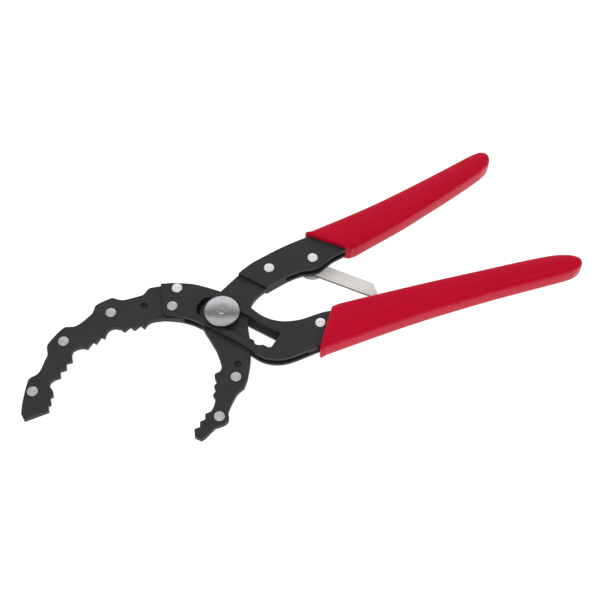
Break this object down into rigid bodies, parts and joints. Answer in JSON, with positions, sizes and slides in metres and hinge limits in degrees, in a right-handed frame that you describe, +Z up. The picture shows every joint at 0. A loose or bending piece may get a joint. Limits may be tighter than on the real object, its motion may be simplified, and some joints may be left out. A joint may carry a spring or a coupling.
{
  "type": "oil filter wrench",
  "caption": "Plier-type oil filter wrench: crossed levers on a pin in a ratchet slot, arched toothed jaws, dipped red grips and a swinging arm between the handles.",
  "frame": {"origin": "on the pivot pin's axis, at the bench the tool lies on", "axes": "+X along lever A's handle, away from the jaws; +Z up out of the face that shows the domed cap; +Y towards lever B's handle"},
  "size_m": [0.3017, 0.1273, 0.0136],
  "materials": {
    "blackened_steel": "satin black over stamped steel",
    "jaw_steel": "satin black, teeth slightly lighter",
    "bright_rivet": "bright steel rivets",
    "dull_rivet": "grey steel rivets",
    "pivot_steel": "turned and brushed steel",
    "plated_steel": "pale plated flat steel",
    "dipped_vinyl": "red dipped vinyl, satin gloss"
  },
  "bodies": {
    "lever_a": {"lever_a_front_plate": "blackened_steel", "lever_a_back_plate": "blackened_steel", "lever_a_core": "blackened_steel", "jaw_a_front_leaf": "jaw_steel", "jaw_a_back_leaf": "jaw_steel", "jaw_a_rivets": "dull_rivet", "lever_a_rivets": "bright_rivet", "grip_a": "dipped_vinyl"},
    "pivot": {"pivot_pin": "pivot_steel", "pivot_cap": "pivot_steel"},
    "lever_b": {"lever_b_front_leaf": "jaw_steel", "lever_b_back_leaf": "jaw_steel", "lever_b_front_cover": "blackened_steel", "lever_b_back_cover": "blackened_steel", "lever_b_core": "blackened_steel", "jaw_b_rivets": "dull_rivet", "lever_b_rivet": "bright_rivet", "grip_b": "dipped_vinyl", "arm_rivet": "bright_rivet"},
    "washer": {"arm_washer": "plated_steel"},
    "arm": {"swing_arm": "plated_steel"}
  },
  "joints": [
    {"name": "pivot_slide", "type": "slide", "parent": "lever_a", "child": "pivot", "axis": [0.682, -0.7314, 0], "range_m": [-0.008, 0.008]},
    {"name": "lever_hinge", "type": "hinge", "parent": "pivot", "child": "lever_b", "pos_m": [0, 0, 0], "axis": [0, 0, 1], "range_deg": [-7, 24]},
    {"name": "washer_turn", "type": "hinge", "parent": "lever_b", "child": "washer", "pos_m": [0.0551, 0.0196, 0], "axis": [0, 0, 1], "range_deg": [-8, 8]},
    {"name": "arm_swing", "type": "hinge", "parent": "washer", "child": "arm", "pos_m": [0.0551, 0.0196, 0], "axis": [0, 0, 1], "range_deg": [-58.8, 17.2]}
  ],
  "couplings": [
    {"joint": "washer_turn", "follows": "pivot_slide", "rad_per_m": 17.453},
    {"joint": "arm_swing", "follows": "lever_hinge", "ratio": -2.45}
  ]
}
